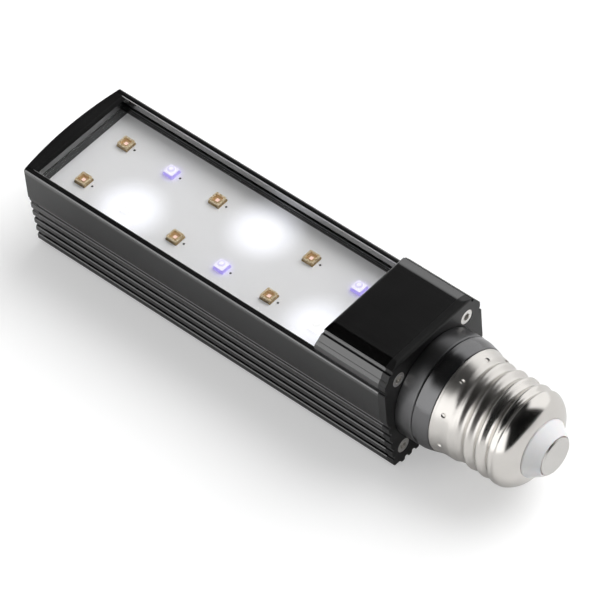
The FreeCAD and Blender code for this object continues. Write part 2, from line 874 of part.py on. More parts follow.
def screw_shell():
    """Rolled shell: the threaded outside, closed by its end discs and hollowed to sheet thickness."""
    outside = shell_outside()
    discs = []
    for edge in outside.Edges:
        box = edge.BoundBox
        if box.XLength < 1e-6 and box.YLength > 1:
            discs.append(Part.Face(Part.Wire([edge])))
    hull = Part.makeShell([outside] + discs)
    hull.sewShape()
    solid = Part.Solid(hull)
    skirt_bore = skirt_radius - shell_wall
    behind_lip = lip_station - 2 * shell_wall
    opening = lip_radius - lip_edge
    inside = turned([(shell_rear, 0, 0), (shell_rear, skirt_bore, 0), (shell_step, skirt_bore, 0),
                     (shell_step, shell_bore, 0), (thread_full, shell_bore, 0), (bowl_start, bowl_bore, 0),
                     (behind_lip, lip_radius + slide_fit, 0), (behind_lip, opening, 0),
                     (lip_station, opening, 0), (lip_station, 0, 0)])
    inner_bumps = []
    for angle in dimple_angles():
        bump = dimple_ball(angle, shell_wall)
        inner_bumps.append(bump.common(rod(shell_rear, thread_start, skirt_radius - shell_wall / 2)))
    solid = solid.cut(inside)
    solid = solid.fuse(inner_bumps)
    for angle in dimple_angles():
        solid = solid.cut(dimple_ball(angle, 0))
    return solid


def insulator():
    """Moulded insulator: a plug inside the bowl and a cone that stands out of it."""
    rear = bowl_start - plug_length
    share = (rear - thread_full) / (bowl_start - thread_full)
    rear_radius = shell_bore + (bowl_bore - shell_bore) * share - running_fit
    lip = lip_radius - lip_edge - running_fit
    behind_lip = lip_station - 2 * shell_wall - seam_gap
    front = contact_station - contact_proud
    well = contact_station - contact_thick
    core = stem_radius + running_fit
    return turned([(rear, core, 0), (rear, rear_radius, plug_round), (bowl_start, bowl_bore - running_fit, 0),
                   (behind_lip, lip_radius, 0), (behind_lip, lip, 0), (lip_station + cone_foot, lip, 0),
                   (lip_station + cone_foot + cone_rise, tier_radius, edge_round),
                   (front - tier_round, tier_front_radius, tier_round),
                   (front, contact_radius + contact_clearance, fine_round),
                   (well, contact_radius + contact_clearance, 0), (well, core, 0)])


def centre_contact():
    """Disc with a rounded edge on a stem that goes through the insulator."""
    back = contact_station - contact_thick
    return turned([(bowl_start - stem_tail, 0, 0), (bowl_start - stem_tail, stem_radius, fine_round),
                   (back, stem_radius, 0), (back, contact_radius, 0),
                   (contact_station, contact_radius, contact_round), (contact_station, 0, 0)])


def wire_along(points, radius, bend):
    """Round wire through points: straight runs joined by tangent arcs of one radius."""
    edges = []
    start = points[0]
    for index in range(1, len(points) - 1):
        corner = points[index]
        back = (points[index - 1] - corner).normalize()
        ahead = (points[index + 1] - corner).normalize()
        half_turn = (math.pi - back.getAngle(ahead)) / 2
        reach = bend * math.tan(half_turn)
        inward = (back + ahead).normalize()
        middle = corner + inward * (bend / math.cos(half_turn) - bend)
        entry = corner + back * reach
        leave = corner + ahead * reach
        edges.append(Part.LineSegment(start, entry).toShape())
        edges.append(Part.Arc(entry, middle, leave).toShape())
        start = leave
    edges.append(Part.LineSegment(start, points[-1]).toShape())
    path = Part.Wire(edges)
    heading = points[1] - points[0]
    profile = Part.Wire([Part.makeCircle(radius, points[0], heading)])
    return path.makePipeShell([profile], True, True)


def supply_wire_start():
    """Station where the supply wires end, just in front of the terminal block."""
    return terminal_wire_gap - driver_board_near


def live_wire():
    """Wire from the centre contact's stem to the terminal block."""
    return rod(supply_wire_start(), bowl_start - stem_tail, supply_wire_radius, supply_wire_offset, 0)


def neutral_wire():
    """Wire from the terminal block that turns out to the shell behind the insulator."""
    turn = core_end - supply_wire_radius - inner_round
    wall = slide_fit - shell_bore
    points = [V(supply_wire_start(), -supply_wire_offset, 0), V(turn, -supply_wire_offset, 0), V(turn, wall, 0)]
    return wire_along(points, supply_wire_radius, supply_bend)


def led_wire(side):
    """Wire from the light board's near end down to the driver board."""
    z = board_top + led_wire_radius
    y = side * led_wire_y
    points = [V(-led_wire_pad, y, z), V(-led_wire_station, y, z), V(-led_wire_station, y, driver_board_top)]
    return wire_along(points, led_wire_radius, led_wire_bend)


def terminal_block():
    """Two-pole terminal block on the driver board, its wire entries facing the neck."""
    near = -driver_board_near
    body = block(near - terminal_length, near, -terminal_half, terminal_half, driver_board_top, terminal_top)
    for side in (-1, 1):
        body = body.cut(rod(near - terminal_entry_depth, near, supply_wire_radius + fine_round,
                            side * supply_wire_offset * 2, 0))
        body = body.cut(Part.makeCylinder(terminal_screw_radius, terminal_screw_depth,
                                          V(near - terminal_length / 2, side * terminal_half / 2,
                                            terminal_top - terminal_screw_depth)))
    return body


def driver_board():
    """Circuit board that slides in the cavity's side slots, components hanging below."""
    return block(-driver_board_far, -driver_board_near, -driver_board_half, driver_board_half,
                 driver_board_bottom, driver_board_top)


def insulating_liner():
    """Folded insulating sheet on the cavity's floor, below the components."""
    low = cavity_floor
    floor = low + liner_thick
    inner = liner_half - liner_thick
    near = -driver_board_near - liner_thick
    trough = mirrored([(inner, liner_top, 0), (inner, floor, fine_round)])
    outer = mirrored([(liner_half, liner_top, 0), (liner_half, low, inner_round)])
    return section_solid(outer, -driver_board_far, near).cut(section_solid(trough, -driver_board_far, near))


def hanging_can(x, length, radius, y):
    """Round component that lies along the board's underside, with a pressed ring near its far end."""
    z = driver_board_bottom - radius
    can = turned([(x, 0, 0), (x, radius, inner_round), (x + length, radius, inner_round), (x + length, 0, 0)])
    ring = x + can_neck_place
    floor = radius - can_neck_depth
    neck = turned([(ring, floor, 0), (ring, radius + overcut, 0),
                   (ring + can_neck_length, radius + overcut, 0), (ring + can_neck_length, floor, 0)])
    return can.cut(neck).translated(V(0, y, z))


def hanging_box(x, length, y, width, drop):
    """Moulded component below the board."""
    top = driver_board_bottom
    near, half = x + length, width / 2
    return plan_solid([(x, y - half, edge_round), (near, y - half, edge_round),
                       (near, y + half, edge_round), (x, y + half, edge_round)], top - drop, top)


def transformer():
    """Wound transformer: a core round a bobbin with end flanges."""
    x = -transformer_far
    drop = parts_room - transformer_floor_gap
    core = hanging_box(x, transformer_length, 0, 2 * (parts_half - transformer_side_gap), drop)
    near = x + transformer_length
    window = block(x + transformer_leg, near - transformer_leg, -bobbin_window / 2, bobbin_window / 2,
                   driver_board_bottom - drop - overcut, driver_board_bottom)
    bobbin = hanging_box(x + bobbin_inset, transformer_length - 2 * bobbin_inset, 0,
                         2 * (parts_half - bobbin_side_gap), drop - bobbin_lift)
    return core.cut(window).fuse(bobbin).removeSplitter()


def beside(side, gap, half):
    """Place across of a component that keeps a gap to the liner on one side."""
    return side * (parts_half - gap - half)


def driver_parts():
    """Components on the driver board by name."""
    return {
        "transformer": transformer(),
        "input_capacitor": hanging_can(-input_can_far, can_length, can_radius,
                                       beside(-1, input_can_gap, can_radius)),
        "output_capacitor": hanging_can(-output_can_far, can_length, can_radius,
                                        beside(1, output_can_gap, can_radius)),
        "filter_choke": hanging_can(-choke_far, choke_length, choke_radius,
                                    beside(-1, choke_side_gap, choke_radius)),
        "fuse_resistor": hanging_can(-fuse_far, fuse_length, fuse_radius,
                                     beside(1, fuse_side_gap, fuse_radius)),
        "rectifier": hanging_box(-rectifier_far, rectifier_length,
                                 beside(-1, rectifier_side_gap, rectifier_width / 2),
                                 rectifier_width, rectifier_drop),
        "control_chip": hanging_box(-chip_far, chip_length, beside(1, chip_side_gap, chip_width / 2),
                                    chip_width, chip_drop),
    }


def all_nodes():
    """Every piece by name, in place."""
    nodes = {
        "heat_sink_housing": heat_sink_housing(),
        "far_end_cap": far_end_cap(),
        "window_glass": window_glass(),
        "thermal_pad": thermal_pad(),
        "led_board": led_board(),
        "driver_cover": driver_cover(),
        "end_plate": end_plate(),
        "neck_collar": neck_collar(),
        "collar_nut": collar_nut(),
        "swivel_ring": swivel_ring(),
        "retaining_clip": retaining_clip(),
        "screw_shell": screw_shell(),
        "insulator": insulator(),
        "centre_contact": centre_contact(),
        "live_wire": live_wire(),
        "neutral_wire": neutral_wire(),
        "led_wire_1": led_wire(-1),
        "led_wire_2": led_wire(1),
        "driver_board": driver_board(),
        "insulating_liner": insulating_liner(),
        "terminal_block": terminal_block(),
    }
    nodes.update(light_sources())
    nodes.update(driver_parts())
    for number, (y, z) in enumerate(screw_places(), 1):
        nodes["end_plate_screw_%d" % number] = screw(0, y, z, -1)
    for number, (y, z) in enumerate(far_screw_places(), 1):
        nodes["far_cap_screw_%d" % number] = screw(far_end - far_cap_thick, y, z, 1)
    return nodes


os.makedirs("parts", exist_ok=True)
for node, shape in all_nodes().items():
    shape.translate(V(-contact_station, 0, 0))
    shape.exportStep("parts/%s.step" % node)
    print("%-20s solids %d valid %s volume %.1f" % (node, len(shape.Solids), shape.isValid(), shape.Volume))
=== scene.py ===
# %% [markdown]
# # A terrarium lamp on a swivelling screw cap
#
# The lamp is a finned black aluminium channel with light sources behind clear
# glass, a raised driver cover at one end and a nickel-plated screw cap. Every
# rigid piece comes from the CAD model, in metres and in its own place. This
# notebook gives the pieces their finishes, adds the small printed and bonded
# details that are too fine for the CAD model, and lights the result.

# %% Load the frame
import math
import bpy
from mathutils import Matrix, Vector


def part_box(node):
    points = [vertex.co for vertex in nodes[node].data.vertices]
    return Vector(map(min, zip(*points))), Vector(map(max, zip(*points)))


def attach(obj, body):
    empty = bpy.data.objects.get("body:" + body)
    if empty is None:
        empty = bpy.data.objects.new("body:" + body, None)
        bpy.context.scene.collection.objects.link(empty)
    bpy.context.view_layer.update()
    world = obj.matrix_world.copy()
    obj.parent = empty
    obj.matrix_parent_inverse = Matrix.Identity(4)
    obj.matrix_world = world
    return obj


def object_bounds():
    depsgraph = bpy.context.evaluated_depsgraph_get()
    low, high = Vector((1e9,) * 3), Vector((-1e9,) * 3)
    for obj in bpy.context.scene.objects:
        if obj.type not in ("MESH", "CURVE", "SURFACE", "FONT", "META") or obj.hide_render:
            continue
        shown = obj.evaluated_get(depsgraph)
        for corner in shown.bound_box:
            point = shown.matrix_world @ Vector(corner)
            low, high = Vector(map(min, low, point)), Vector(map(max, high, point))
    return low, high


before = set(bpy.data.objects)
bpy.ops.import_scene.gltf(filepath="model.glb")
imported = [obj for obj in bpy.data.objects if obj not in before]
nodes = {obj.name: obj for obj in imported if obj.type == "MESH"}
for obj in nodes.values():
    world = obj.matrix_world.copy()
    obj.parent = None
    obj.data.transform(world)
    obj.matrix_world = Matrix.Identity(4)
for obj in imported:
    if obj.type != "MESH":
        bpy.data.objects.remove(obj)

cad_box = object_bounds()
print("nodes", len(nodes), "CAD box", [[round(value, 4) for value in corner] for corner in cad_box])

# %% [markdown]
# ## Sizes in metres
#
# Blender counts in metres and a maker thinks in millimetres, so `MM` turns one
# into the other. A place could be typed in, but then it would be wrong as soon
# as the CAD model changes. The box of a node says where it is, so the places
# are read from there.

# %% Millimetres and the places of the light sources
MM = 0.001


def corners(name):
    """Lowest and highest corner of a node's box."""
    low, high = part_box(name)
    return Vector(low), Vector(high)


def middle_of(name):
    """Middle of a node's box."""
    low, high = corners(name)
    return (low + high) / 2


board_top = corners("led_board")[1].z
source_names = sorted(name for name in nodes if "_led_" in name and not name.startswith("led_"))
first_source = min((middle_of(name) for name in source_names), key=lambda place: place.x)
columns = sorted({round(middle_of(name).x, 5) for name in source_names})
source_pitch = columns[1] - columns[0]
source_row = abs(first_source.y)
print("sources", len(source_names), "columns", len(columns), "pitch", round(source_pitch, 5))

# %% [markdown]
# ## The camera
#
# The photograph was taken from far away with a long lens, a little under fifty
# degrees above the table, with the camera slightly rolled. The camera comes
# first, so that every later choice can be judged in the photograph's frame. It
# is turned by a matrix made of three plain turns: round Z to its azimuth, up to
# its height, and round its own line of sight.

# %% Camera
camera_azimuth = math.radians(45.667)
camera_elevation = math.radians(48.727)
camera_roll = math.radians(-5.552)
camera_place = Vector((443.85, -512.53, 834.33)) * MM
camera_lens = 273.5
camera_sensor = 36.0
camera_reach = 20.0

camera_data = bpy.data.cameras.new("camera")
camera_data.lens = camera_lens
camera_data.sensor_width = camera_sensor
camera_data.clip_end = camera_reach
camera = bpy.data.objects.new("camera", camera_data)
bpy.context.scene.collection.objects.link(camera)
turn = Matrix.Rotation(camera_azimuth, 4, "Z")
turn = turn @ Matrix.Rotation(math.pi / 2 - camera_elevation, 4, "X")
turn = turn @ Matrix.Rotation(camera_roll, 4, "Z")
camera.matrix_world = Matrix.Translation(camera_place) @ turn
bpy.context.scene.camera = camera
print("camera distance", round((camera_place - middle_of("heat_sink_housing")).length, 3))

# %% [markdown]
# ## Writing finishes as sums
#
# A finish could be wired node by node, but it is easier to read as arithmetic.
# `Flow` wraps a socket of a node tree. Adding or multiplying flows adds the Math
# nodes, and `1.0 - mask` works too, because the reflected forms are there.

# %% Flow: arithmetic on sockets
class Flow:
    """A socket of a recipe; arithmetic on it adds Math nodes."""

    def __init__(self, recipe, socket):
        self.recipe = recipe
        self.socket = socket

    def math(self, operation, *values):
        """Math node of an operation on some values."""
        return self.recipe.node("ShaderNodeMath", {"operation": operation}, dict(enumerate(values)))

    def __add__(self, other):
        return self.math("ADD", self, other)

    __radd__ = __add__

    def __sub__(self, other):
        return self.math("SUBTRACT", self, other)

    def __rsub__(self, other):
        return self.math("SUBTRACT", other, self)

    def __mul__(self, other):
        return self.math("MULTIPLY", self, other)

    __rmul__ = __mul__

    def __truediv__(self, other):
        return self.math("DIVIDE", self, other)

    def __pow__(self, other):
        return self.math("POWER", self, other)

    def __mod__(self, other):
        return self.math("FLOORED_MODULO", self, other)

    def __abs__(self):
        return self.math("ABSOLUTE", self)

    def __gt__(self, other):
        return self.math("GREATER_THAN", self, other)

    def __lt__(self, other):
        return self.math("LESS_THAN", self, other)

    def root(self):
        """Square root."""
        return self.math("SQRT", self)

    def ease(self, low, high):
        """0 below low, 1 above high, smooth between."""
        settings = {"interpolation_type": "SMOOTHSTEP"}
        values = {"Value": self, "From Min": low, "From Max": high}
        return self.recipe.node("ShaderNodeMapRange", settings, values)


print("Flow can", ", ".join(name for name in vars(Flow) if not name.startswith("_")))

# %% [markdown]
# ## One recipe for each node tree
#
# A material and the world are both node trees that start from coordinates, so
# both are a `Recipe`. Its `node` method makes every node that isn't arithmetic:
# the settings come first, because some of them change the sockets, and then the
# values and links.

# %% Recipe: a node tree that knows where it is
class Recipe:
    """A node tree that reads its own coordinates."""

    def __init__(self, tree, coordinates):
        self.tree = tree
        self.place = self.node("ShaderNodeTexCoord", {}, {}, coordinates)
        parts = self.node("ShaderNodeSeparateXYZ", {}, {0: self.place}, "X").socket.node
        self.x, self.y, self.z = (Flow(self, parts.outputs[axis]) for axis in "XYZ")

    def node(self, kind, settings, inputs, output=0):
        """New node of a kind, its settings first, then the values or links of its sockets."""
        made = self.tree.nodes.new(kind)
        for name, value in settings.items():
            setattr(made, name, value)
        for key, value in inputs.items():
            if isinstance(value, Flow):
                self.tree.links.new(value.socket, made.inputs[key])
            else:
                made.inputs[key].default_value = value
        return Flow(self, made.outputs[output])

    def ray(self, kind):
        """1 for rays of a kind, such as Camera."""
        return self.node("ShaderNodeLightPath", {}, {}, "Is %s Ray" % kind)


print("Recipe can", ", ".join(name for name in vars(Recipe) if not name.startswith("_")))

# %% [markdown]
# ## Finishes
#
# `Finish` is the recipe of one material, which feeds Blender's main shader. A
# value that is the same all over goes straight onto the shader's socket, and
# only what changes over the surface comes through nodes. The patterns read
# object coordinates, so they stay on their piece when the cap turns.

# %% Finish: a material and its patterns
class Finish(Recipe):
    """A material: one Principled shader fed by flows."""

    def __init__(self, name, **sockets):
        self.material = bpy.data.materials.new(name)
        self.material.use_nodes = True
        super().__init__(self.material.node_tree, "Object")
        self.shader = self.tree.nodes["Principled BSDF"]
        for socket, value in sockets.items():
            self.set(socket.replace("_", " ").title().replace("Ior", "IOR"), value)

    def set(self, socket, value):
        """Put a value or a flow on one of the shader's sockets."""
        if isinstance(value, Flow):
            self.tree.links.new(value.socket, self.shader.inputs[socket])
        else:
            self.shader.inputs[socket].default_value = value

    def stretched(self, sx, sy, sz):
        """The object's coordinates, scaled by a factor each way."""
        inputs = {"Vector": self.place, "Scale": (sx, sy, sz)}
        return self.node("ShaderNodeMapping", {"vector_type": "POINT"}, inputs)

    def noise(self, scale, detail=3.0, where=None):
        """Cloudy noise from 0 to 1, with a number of lumps to the metre."""
        inputs = {"Vector": where or self.place, "Scale": scale, "Detail": detail}
        return self.node("ShaderNodeTexNoise", {}, inputs)

    def mix(self, factor, first, second):
        """Colour between two colours."""
        inputs = {0: factor, 6: first, 7: second}
        return self.node("ShaderNodeMix", {"data_type": "RGBA"}, inputs, 2)

    def bump(self, height, strength, distance):
        """Surface bump from a height, on the shader's normal."""
        inputs = {"Height": height, "Strength": strength, "Distance": distance}
        self.set("Normal", self.node("ShaderNodeBump", {}, inputs))


print("Finish can", ", ".join(name for name in vars(Finish) if not name.startswith("_")))

# %% Colours and dressing
def colour(red, green, blue):
    """An opaque colour."""
    return (red, green, blue, 1.0)


def grey(level):
    """An opaque neutral colour."""
    return colour(level, level, level)


def dress(names, finish):
    """Give CAD nodes a finish on all their faces."""
    for name in names:
        mesh = nodes[name].data
        mesh.materials.clear()
        mesh.materials.append(finish.material)
    print(finish.material.name, "on", len(names), "nodes")


print("mid grey is", grey(0.5))

# %% [markdown]
# ## Black anodised aluminium
#
# The housing is an extrusion: the die leaves very fine lines along it, and the
# anodising is satin. Black paint would be a dark plastic with a sheen, but black
# anodising still reflects as the metal below does, only darker, so the finish
# is a metal of a dark colour. The noise is stretched along X, and feeds a faint
# bump and a small change of roughness.

# %% Anodised metal with die lines
die_stretch = (12, 5200, 5200)
die_roughness = 0.07
handling_scale = 90.0
handling_roughness = 0.04
fine_depth = 0.02 * MM


def anodised(name, low, high, roughness, die):
    """Satin black metal with die lines along the lamp; gives its finish, tone and cloud."""
    finish = Finish(name, metallic=1.0)
    lines = finish.noise(1.0, 2.0, finish.stretched(*die_stretch))
    cloud = finish.noise(handling_scale)
    tone = finish.mix(cloud, low, high)
    finish.set("Roughness", roughness + die_roughness * lines + handling_roughness * cloud)
    finish.bump(lines, die, fine_depth)
    return finish, tone, cloud


print("die lines to the metre, along and across", die_stretch[:2])

# %% [markdown]
# ## Painted highlights on the edges
#
# On the rails' top edge and the tips of the grooves and fins low on the flanks
# the metal is lighter. These are painted highlights, where the rounded edges
# catch the light. The lip above the glass is a lighter grey, a painted band of
# light. Each one is a mask made of distances, which follows the real edge better
# than a noise could.

# %% Housing and far end cap
rail_outer, rail_inner = 16.6 * MM, 16.2 * MM
rim_foot, rim_top = 8.9 * MM, 9.9 * MM
groove_foot, groove_top = -1.6 * MM, -0.9 * MM
fin_side = 14.0 * MM
fin_highlight_share = 0.45
edge_highlight_low, edge_highlight_high = grey(0.17), grey(0.20)
glass_top = corners("window_glass")[1].z


def housing_finish(name, lip_highlight_level):
    """The extrusion, with painted highlights along its edges and fins and a painted band of light
    on the lip above the glass.
    """
    finish, tone, cloud = anodised(name, grey(0.070), grey(0.085), roughness=0.14, die=0.05)
    aside = abs(finish.y)
    # painted highlights: lighter metal on the rails' top edge and on the fin tips low on the flanks
    rim = finish.z.ease(rim_foot, rim_top) * (aside > rail_outer)
    fins = (1.0 - finish.z.ease(groove_foot, groove_top)) * (aside > fin_side)
    # painted band of light: a lighter grey on the inner wall above the glass
    lip = (aside < rail_inner) * (finish.z > glass_top)
    edge_highlighted_tone = finish.mix(rim + fin_highlight_share * fins, tone, finish.mix(cloud, edge_highlight_low, edge_highlight_high))
    bright = finish.mix(cloud, grey(lip_highlight_level), grey(1.2 * lip_highlight_level))
    finish.set("Base Color", finish.mix(lip, edge_highlighted_tone, bright))
    return finish


dress(["heat_sink_housing"], housing_finish("black anodised extrusion", lip_highlight_level=0.30))
dress(["far_end_cap"], housing_finish("black anodised end cap", lip_highlight_level=0.18))

# %% [markdown]
# ## The driver cover
#
# The cover has the same anodising, but it is pressed and not drawn through a
# die, so its lines hardly show and its tone is even. Its flat top mirrors the
# dark ceiling of the studio, which makes it the blackest face in the picture.

# %% Driver cover
cover, cover_tone, _ = anodised("black anodised cover", grey(0.120), grey(0.140),
                                roughness=0.15, die=0.03)
cover.set("Base Color", cover_tone)
dress(["driver_cover"], cover)

# %% [markdown]
# ## Matt black
#
# The end plate is painted, with a very fine grain that scatters light, and the
# nut behind it is moulded. Neither reflects as the anodised metal does, so both
# are plain dark surfaces with a grain from noise.

# %% Matt black paint and plastic
grain_scale = 2600.0
grain_depth = 0.03 * MM
grain_roughness = 0.06
paint_scale = 60.0
paint_roughness = 0.05


def matt_black(name, level, roughness, grain):
    """Matt black with a fine grain."""
    finish = Finish(name, specular_ior_level=0.45)
    fine = finish.noise(grain_scale, 2.0)
    cloud = finish.noise(paint_scale, 2.0)
    finish.set("Base Color", finish.mix(cloud, grey(level), grey(level * 1.5)))
    uneven = grain_roughness * (fine - 0.5)
    finish.set("Roughness", roughness + uneven + paint_roughness * (cloud - 0.5))
    finish.bump(fine, grain, grain_depth)
    return finish


paint = matt_black("matt black paint", level=0.004, roughness=0.36, grain=0.08)
dress(["end_plate"], paint)
nut = matt_black("black moulding", level=0.008, roughness=0.40, grain=0.06)
dress(["collar_nut"], nut)

# %% [markdown]
# ## Nickel-plated sheet
#
# The cap's shell is thin rolled sheet, bright but not a mirror. Rolling leaves
# faint rings round the axis, so the roughness follows a noise of two distances
# only: along the axis and out from it. A slow cloud stands for handling. The
# skirt is duller than the thread, because it is held there in the crimping tool.

# %% Plated and turned metal
ring_scale = 900
ring_bump = 0.05
plating_scale = 160.0
skirt_place, thread_place = -18.0 * MM, -8.0 * MM
shade_of_cloud = 0.86


def plated(name, tone, roughness, swirl, rubbed=0.0):
    """Bright metal with faint rings round the lamp's axis, duller towards the skirt."""
    finish = Finish(name, metallic=1.0)
    reach = (finish.y * finish.y + finish.z * finish.z).root()
    inputs = {0: finish.x * ring_scale, 1: reach * ring_scale, 2: 0.0}
    rings = finish.noise(1.0, 2.0, finish.node("ShaderNodeCombineXYZ", {}, inputs))
    cloud = finish.noise(plating_scale)
    darker = colour(*(shade_of_cloud * channel for channel in tone[:3]))
    finish.set("Base Color", finish.mix(cloud, darker, tone))
    dull = 1.0 - finish.x.ease(skirt_place, thread_place)
    uneven = swirl * rings + handling_roughness * cloud + rubbed * dull
    finish.set("Roughness", roughness + uneven)
    finish.bump(rings, ring_bump, fine_depth)
    return finish


print("rings to the metre", ring_scale)

# %% Screw cap
nickel = plated("nickel plated sheet", colour(0.76, 0.735, 0.70),
                roughness=0.12, swirl=0.05, rubbed=0.14)
dress(["screw_shell"], nickel)
contact = plated("plated contact", colour(0.74, 0.725, 0.70), roughness=0.26, swirl=0.1)
dress(["centre_contact"], contact)

# %% Neck rings and screws
turning_ring = plated("turned black ring", colour(0.18, 0.18, 0.183),
                      roughness=0.18, swirl=0.04)
dress(["swivel_ring"], turning_ring)
fixed_ring = plated("turned black collar", colour(0.16, 0.16, 0.163),
                    roughness=0.32, swirl=0.04)
dress(["neck_collar"], fixed_ring)
steel = plated("bright steel", colour(0.88, 0.86, 0.83), roughness=0.30, swirl=0.08)
dress([name for name in nodes if "_screw_" in name] + ["retaining_clip"], steel)

# %% [markdown]
# ## The insulator
#
# The cone between the shell and the contact is an off-white moulding. A little
# light scatters inside it, which softens its shading, so it gets a small share
# of subsurface scattering. A surface of paint would look too hard there.

# %% Insulator
moulding_scale = 300.0
insulator = Finish("off-white insulator", roughness=0.35,
                   subsurface_weight=0.15, subsurface_scale=2 * MM)
moulding_tone = insulator.mix(insulator.noise(moulding_scale, 2.0),
                              colour(0.70, 0.695, 0.70), colour(0.76, 0.755, 0.765))
insulator.set("Base Color", moulding_tone)
dress(["insulator"], insulator)

# %% [markdown]
# ## The lit board
#
# The board is white, and its white sources flood it with light: each one makes
# a soft oval pool, each violet one a small halo, and a faint glow lies over the
# whole board. Small lamps inside the scene would do that too, but slowly and with
# noise. Here the pools and halos are emission that falls off with the distance
# from each source, so they are smooth and exact, and the faint glow is an even
# emission: all of it painted light. A small black mark is printed beside every
# source, except where a pool washes it out.

# %% Distances on the board
def on_the_grid(finish, from_first=0.0):
    """Distance along the lamp from the nearest column, with the columns moved on by a length."""
    start = first_source.x + from_first - source_pitch / 2
    return ((finish.x - start) % source_pitch) - source_pitch / 2


def distance_from(finish, name):
    """Distance from the middle of a source, seen from above."""
    spot = middle_of(name)
    across, along = finish.y - spot.y, finish.x - spot.x
    return (across * across + along * along).root()


print("first source at", [round(value / MM, 1) for value in first_source], "mm")

# %% Board with pools of light and printed marks
pool_radius = 10.5 * MM
pool_fade = (0.22, 1.2)
halo_radius = 3.6 * MM
halo_fade = (0.5, 1.0)
mark_offset = 2.8 * MM
mark_radius = 0.32 * MM
washed_out = 0.2
board_scale = 40.0
pool_light = colour(0.55, 0.56, 0.61)
halo_light = colour(0.12, 0.10, 0.26)


def board_finish():
    """White solder mask, lit by the sources, with a mark beside each of them."""
    finish = Finish("lit white board", roughness=0.45, emission_strength=1.0)
    glow, halo = 0.0, 0.0
    for name in source_names:
        if name.startswith("white"):
            share = distance_from(finish, name) / pool_radius
            glow = glow + (1.0 - share.ease(*pool_fade))
        if name.startswith("violet"):
            share = distance_from(finish, name) / halo_radius
            halo = halo + (1.0 - share.ease(*halo_fade))
    across = abs(abs(finish.y) - source_row) ** 2.0
    along = on_the_grid(finish, mark_offset)
    mark = ((along * along + across).root() < mark_radius) * (glow < washed_out)
    cloud = finish.noise(board_scale)
    paint = finish.mix(cloud, colour(0.80, 0.80, 0.81), colour(0.86, 0.86, 0.87))
    finish.set("Base Color", finish.mix(mark, paint, grey(0.01)))
    # painted light: a faint even glow over the whole board, with the violet halos on it
    faint_glow_and_halos = finish.mix(halo, grey(0.07), halo_light)
    finish.set("Emission Color", finish.mix(mark, finish.mix(glow, faint_glow_and_halos, pool_light), grey(0.0)))
    return finish


dress(["led_board"], board_finish())

# %% [markdown]
# ## The UVB sources
#
# These packages are gold-plated ceramic with a bright chip in a square well. The
# chip, the well and the frame could be three materials on picked faces. One
# material does it here, because they differ only in how far they are from the
# package's middle, which the grid of the sources gives.

# %% UVB packages
chip_half = 0.48 * MM
well_half, well_depth = 1.2 * MM, 0.9 * MM
darker_below, lighter_above = 0.35 * MM, 1.15 * MM
fleck_scale = 3200.0
fleck_edge = (0.38, 0.62)
ceramic_metal = 0.20
ceramic_roughness, fleck_roughness = 0.30, 0.2
chip_tone, chip_light = colour(0.80, 0.62, 0.56), colour(0.42, 0.28, 0.25)
well_light = colour(0.20, 0.12, 0.06)


def gold_ceramic():
    """Gold-plated ceramic with a pinkish lit chip."""
    finish = Finish("gold ceramic", emission_strength=1.0)
    from_middle = abs(on_the_grid(finish))
    from_middle = from_middle.math("MAXIMUM", from_middle, abs(abs(finish.y) - source_row))
    chip = from_middle < chip_half
    cloud = finish.noise(fleck_scale)
    speck = cloud.ease(*fleck_edge)
    low = finish.mix(speck, colour(0.22, 0.14, 0.05), colour(0.50, 0.36, 0.16))
    high = finish.mix(speck, colour(0.48, 0.34, 0.16), colour(0.98, 0.84, 0.60))
    # the colour is darker towards the board, in the well and down the sides, and lighter on the top
    # frame
    top = (finish.z - board_top).ease(darker_below, lighter_above)
    finish.set("Base Color", finish.mix(chip, finish.mix(top, low, high), chip_tone))
    finish.set("Metallic", ceramic_metal * (1.0 - chip))
    finish.set("Roughness", ceramic_roughness + fleck_roughness * cloud)
    well = (from_middle < well_half) * (finish.z < board_top + well_depth)
    spill = finish.mix(well, grey(0.0), well_light)
    finish.set("Emission Color", finish.mix(chip, spill, chip_light))
    return finish


dress([name for name in source_names if name.startswith("uvb")], gold_ceramic())

# %% [markdown]
# ## The violet and white sources
#
# These are lit blocks of resin. Their flanks are deeper in colour than their
# top, because the light comes out upwards, so the emission changes with the
# height above the board.

# %% Violet and white packages
flank_top, face_foot = 0.9 * MM, 1.25 * MM


def lit_block(name, face, flank):
    """Lit package: its top in one colour, its sides in another."""
    finish = Finish(name, roughness=0.3, emission_strength=1.0)
    top = (finish.z - board_top).ease(flank_top, face_foot)
    finish.set("Base Color", grey(0.25))
    finish.set("Emission Color", finish.mix(top, flank, face))
    return finish


violet_block = lit_block("violet source", face=colour(0.84, 0.81, 0.96),
                         flank=colour(0.32, 0.25, 0.76))
white_block = lit_block("white source", face=grey(1.0), flank=grey(0.98))
dress([name for name in source_names if name.startswith("violet")], violet_block)
dress([name for name in source_names if name.startswith("white")], white_block)

# %% [markdown]
# ## Lenses
#
# The violet and white packages have a low clear dome of silicone on top, which
# the CAD model leaves flat. A sphere cut in half would stand too high, so one
# dome is modelled from a filled circle: the disc is pulled up and drawn in a few
# times, its middle is closed to a point and a Subdivision Surface rounds it.

# %% One lens dome
lens_radius = 1.15 * MM
lens_sides = 24
lens_steps = ((1.0, 0.10), (0.94, 0.16), (0.80, 0.15), (0.58, 0.10), (0.30, 0.05))


